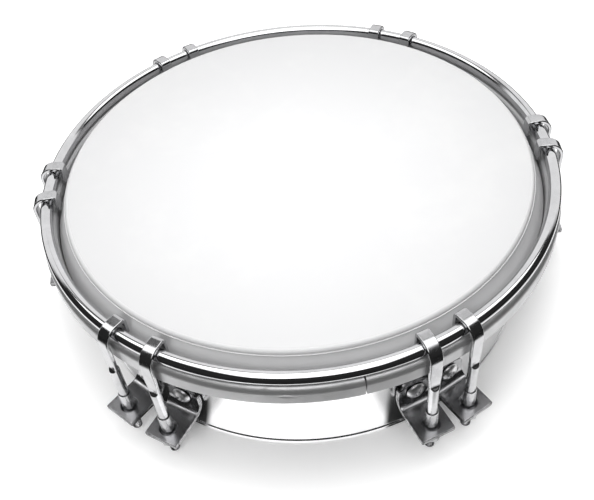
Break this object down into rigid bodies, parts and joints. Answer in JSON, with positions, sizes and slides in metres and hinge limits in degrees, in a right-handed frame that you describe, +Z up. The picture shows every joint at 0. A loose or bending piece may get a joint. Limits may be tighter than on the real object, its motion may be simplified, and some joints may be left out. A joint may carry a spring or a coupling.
{
  "type": "tamborim",
  "caption": "Small round frame drum with a plastic head, tensioned over a metal shell by threaded hooks in pairs.",
  "frame": {"origin": "on the drum's axis, level with the shell's lower rim that it stands on", "axes": "+Z up along the drum's axis, out of the head; -Y to the front of the picture; +X to its right"},
  "size_m": [0.1828, 0.1721, 0.0495],
  "materials": {
    "shell_aluminium": "polished, almost a mirror, with faint rolling lines",
    "head_film": "bare white film, smooth satin",
    "hoop_aluminium": "bright drawn channel with small dents",
    "rod_chrome": "chrome plate, mirror bright",
    "tensioner_chrome": "chrome plate on stamped and drawn steel",
    "rivet_aluminium": "satin, pressed dome"
  },
  "bodies": {
    "drum": {"shell": "shell_aluminium", "drumhead_film": "head_film", "flesh_hoop": "hoop_aluminium", "counter_hoop": "rod_chrome", "bracket_front_right_1": "tensioner_chrome", "bracket_front_right_2": "tensioner_chrome", "bracket_right_1": "tensioner_chrome", "bracket_right_2": "tensioner_chrome", "bracket_back_right_1": "tensioner_chrome", "bracket_back_right_2": "tensioner_chrome", "bracket_back_left_1": "tensioner_chrome", "bracket_back_left_2": "tensioner_chrome", "bracket_left_1": "tensioner_chrome", "bracket_left_2": "tensioner_chrome", "bracket_front_left_1": "tensioner_chrome", "bracket_front_left_2": "tensioner_chrome", "rivet_front_right_1": "rivet_aluminium", "rivet_front_right_2": "rivet_aluminium", "rivet_right_1": "rivet_aluminium", "rivet_right_2": "rivet_aluminium", "rivet_back_right_1": "rivet_aluminium", "rivet_back_right_2": "rivet_aluminium", "rivet_back_left_1": "rivet_aluminium", "rivet_back_left_2": "rivet_aluminium", "rivet_left_1": "rivet_aluminium", "rivet_left_2": "rivet_aluminium", "rivet_front_left_1": "rivet_aluminium", "rivet_front_left_2": "rivet_aluminium"},
    "tuning_nut_front_right_1": {"nut_front_right_1": "tensioner_chrome"},
    "tension_hook_front_right_1": {"hook_front_right_1": "tensioner_chrome"},
    "tuning_nut_front_right_2": {"nut_front_right_2": "tensioner_chrome"},
    "tension_hook_front_right_2": {"hook_front_right_2": "tensioner_chrome"},
    "tuning_nut_right_1": {"nut_right_1": "tensioner_chrome"},
    "tension_hook_right_1": {"hook_right_1": "tensioner_chrome"},
    "tuning_nut_right_2": {"nut_right_2": "tensioner_chrome"},
    "tension_hook_right_2": {"hook_right_2": "tensioner_chrome"},
    "tuning_nut_back_right_1": {"nut_back_right_1": "tensioner_chrome"},
    "tension_hook_back_right_1": {"hook_back_right_1": "tensioner_chrome"},
    "tuning_nut_back_right_2": {"nut_back_right_2": "tensioner_chrome"},
    "tension_hook_back_right_2": {"hook_back_right_2": "tensioner_chrome"},
    "tuning_nut_back_left_1": {"nut_back_left_1": "tensioner_chrome"},
    "tension_hook_back_left_1": {"hook_back_left_1": "tensioner_chrome"},
    "tuning_nut_back_left_2": {"nut_back_left_2": "tensioner_chrome"},
    "tension_hook_back_left_2": {"hook_back_left_2": "tensioner_chrome"},
    "tuning_nut_left_1": {"nut_left_1": "tensioner_chrome"},
    "tension_hook_left_1": {"hook_left_1": "tensioner_chrome"},
    "tuning_nut_left_2": {"nut_left_2": "tensioner_chrome"},
    "tension_hook_left_2": {"hook_left_2": "tensioner_chrome"},
    "tuning_nut_front_left_1": {"nut_front_left_1": "tensioner_chrome"},
    "tension_hook_front_left_1": {"hook_front_left_1": "tensioner_chrome"},
    "tuning_nut_front_left_2": {"nut_front_left_2": "tensioner_chrome"},
    "tension_hook_front_left_2": {"hook_front_left_2": "tensioner_chrome"}
  },
  "joints": [
    {"name": "nut_turn_front_right_1", "type": "hinge", "parent": "drum", "child": "tuning_nut_front_right_1", "pos_m": [0.03156, -0.08086, 0.0098], "axis": [0, 0, -1], "range_deg": [0, 2520]},
    {"name": "hook_travel_front_right_1", "type": "slide", "parent": "drum", "child": "tension_hook_front_right_1", "axis": [0, 0, 1], "range_m": [0, 0.00445]},
    {"name": "nut_turn_front_right_2", "type": "hinge", "parent": "drum", "child": "tuning_nut_front_right_2", "pos_m": [0.04376, -0.07496, 0.0098], "axis": [0, 0, -1], "range_deg": [0, 2520]},
    {"name": "hook_travel_front_right_2", "type": "slide", "parent": "drum", "child": "tension_hook_front_right_2", "axis": [0, 0, 1], "range_m": [0, 0.00445]},
    {"name": "nut_turn_right_1", "type": "hinge", "parent": "drum", "child": "tuning_nut_right_1", "pos_m": [0.0867, -0.00409, 0.0098], "axis": [0, 0, -1], "range_deg": [0, 2520]},
    {"name": "hook_travel_right_1", "type": "slide", "parent": "drum", "child": "tension_hook_right_1", "axis": [0, 0, 1], "range_m": [0, 0.00445]},
    {"name": "nut_turn_right_2", "type": "hinge", "parent": "drum", "child": "tuning_nut_right_2", "pos_m": [0.08632, 0.00907, 0.0098], "axis": [0, 0, -1], "range_deg": [0, 2520]},
    {"name": "hook_travel_right_2", "type": "slide", "parent": "drum", "child": "tension_hook_right_2", "axis": [0, 0, 1], "range_m": [0, 0.00445]},
    {"name": "nut_turn_back_right_1", "type": "hinge", "parent": "drum", "child": "tuning_nut_back_right_1", "pos_m": [0.0504, 0.07067, 0.0098], "axis": [0, 0, -1], "range_deg": [0, 2520]},
    {"name": "hook_travel_back_right_1", "type": "slide", "parent": "drum", "child": "tension_hook_back_right_1", "axis": [0, 0, 1], "range_m": [0, 0.00445]},
    {"name": "nut_turn_back_right_2", "type": "hinge", "parent": "drum", "child": "tuning_nut_back_right_2", "pos_m": [0.03846, 0.07781, 0.0098], "axis": [0, 0, -1], "range_deg": [0, 2520]},
    {"name": "hook_travel_back_right_2", "type": "slide", "parent": "drum", "child": "tension_hook_back_right_2", "axis": [0, 0, 1], "range_m": [0, 0.00445]},
    {"name": "nut_turn_back_left_1", "type": "hinge", "parent": "drum", "child": "tuning_nut_back_left_1", "pos_m": [-0.0386, 0.07774, 0.0098], "axis": [0, 0, -1], "range_deg": [0, 2520]},
    {"name": "hook_travel_back_left_1", "type": "slide", "parent": "drum", "child": "tension_hook_back_left_1", "axis": [0, 0, 1], "range_m": [0, 0.00445]},
    {"name": "nut_turn_back_left_2", "type": "hinge", "parent": "drum", "child": "tuning_nut_back_left_2", "pos_m": [-0.05015, 0.07084, 0.0098], "axis": [0, 0, -1], "range_deg": [0, 2520]},
    {"name": "hook_travel_back_left_2", "type": "slide", "parent": "drum", "child": "tension_hook_back_left_2", "axis": [0, 0, 1], "range_m": [0, 0.00445]},
    {"name": "nut_turn_left_1", "type": "hinge", "parent": "drum", "child": "tuning_nut_left_1", "pos_m": [-0.08619, 0.01026, 0.0098], "axis": [0, 0, -1], "range_deg": [0, 2520]},
    {"name": "hook_travel_left_1", "type": "slide", "parent": "drum", "child": "tension_hook_left_1", "axis": [0, 0, 1], "range_m": [0, 0.00445]},
    {"name": "nut_turn_left_2", "type": "hinge", "parent": "drum", "child": "tuning_nut_left_2", "pos_m": [-0.08665, -0.00513, 0.0098], "axis": [0, 0, -1], "range_deg": [0, 2520]},
    {"name": "hook_travel_left_2", "type": "slide", "parent": "drum", "child": "tension_hook_left_2", "axis": [0, 0, 1], "range_m": [0, 0.00445]},
    {"name": "nut_turn_front_left_1", "type": "hinge", "parent": "drum", "child": "tuning_nut_front_left_1", "pos_m": [-0.05843, -0.06419, 0.0098], "axis": [0, 0, -1], "range_deg": [0, 2520]},
    {"name": "hook_travel_front_left_1", "type": "slide", "parent": "drum", "child": "tension_hook_front_left_1", "axis": [0, 0, 1], "range_m": [0, 0.00445]},
    {"name": "nut_turn_front_left_2", "type": "hinge", "parent": "drum", "child": "tuning_nut_front_left_2", "pos_m": [-0.04598, -0.07362, 0.0098], "axis": [0, 0, -1], "range_deg": [0, 2520]},
    {"name": "hook_travel_front_left_2", "type": "slide", "parent": "drum", "child": "tension_hook_front_left_2", "axis": [0, 0, 1], "range_m": [0, 0.00445]}
  ],
  "couplings": [
    {"joint": "nut_turn_front_right_1", "follows": "hook_travel_front_right_1", "rad_per_m": 9894.8},
    {"joint": "nut_turn_front_right_2", "follows": "hook_travel_front_right_2", "rad_per_m": 9894.8},
    {"joint": "nut_turn_right_1", "follows": "hook_travel_right_1", "rad_per_m": 9894.8},
    {"joint": "nut_turn_right_2", "follows": "hook_travel_right_2", "rad_per_m": 9894.8},
    {"joint": "nut_turn_back_right_1", "follows": "hook_travel_back_right_1", "rad_per_m": 9894.8},
    {"joint": "nut_turn_back_right_2", "follows": "hook_travel_back_right_2", "rad_per_m": 9894.8},
    {"joint": "nut_turn_back_left_1", "follows": "hook_travel_back_left_1", "rad_per_m": 9894.8},
    {"joint": "nut_turn_back_left_2", "follows": "hook_travel_back_left_2", "rad_per_m": 9894.8},
    {"joint": "nut_turn_left_1", "follows": "hook_travel_left_1", "rad_per_m": 9894.8},
    {"joint": "nut_turn_left_2", "follows": "hook_travel_left_2", "rad_per_m": 9894.8},
    {"joint": "nut_turn_front_left_1", "follows": "hook_travel_front_left_1", "rad_per_m": 9894.8},
    {"joint": "nut_turn_front_left_2", "follows": "hook_travel_front_left_2", "rad_per_m": 9894.8}
  ]
}
